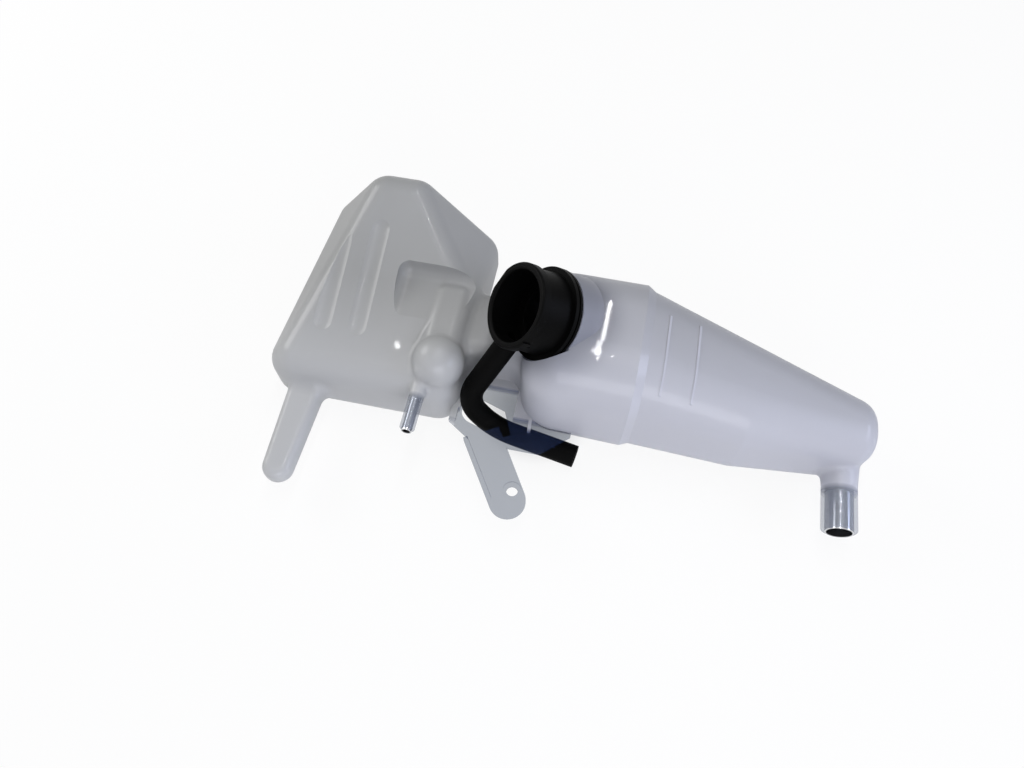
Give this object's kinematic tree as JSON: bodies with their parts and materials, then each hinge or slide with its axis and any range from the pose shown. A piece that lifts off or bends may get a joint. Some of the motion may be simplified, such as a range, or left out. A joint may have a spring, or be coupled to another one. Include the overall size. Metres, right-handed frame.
{
  "type": "coolant expansion tank",
  "caption": "Translucent blow-moulded coolant expansion tank with a tapered arm, a slanted black filler neck, an overflow hose and a bolt tab.",
  "frame": {"origin": "centre of the bolt hole in the tab, in the mould's parting plane", "axes": "+Z along the bolt hole towards the filler side, +X along the tapered arm, -Y the way the outlet points; the flat back lies at z = -22 mm"},
  "size_m": [0.3712, 0.2026, 0.118],
  "materials": {
    "tank_plastic": "satin, translucent natural plastic",
    "neck_plastic": "satin black",
    "rubber": "matt black",
    "steel": "drawn tube"
  },
  "bodies": {
    "root": {"tank_body": "tank_plastic", "filler_neck": "neck_plastic", "neck_seal": "rubber", "overflow_hose": "rubber", "outlet_sleeve": "steel", "vent_tube": "steel"}
  },
  "joints": []
}
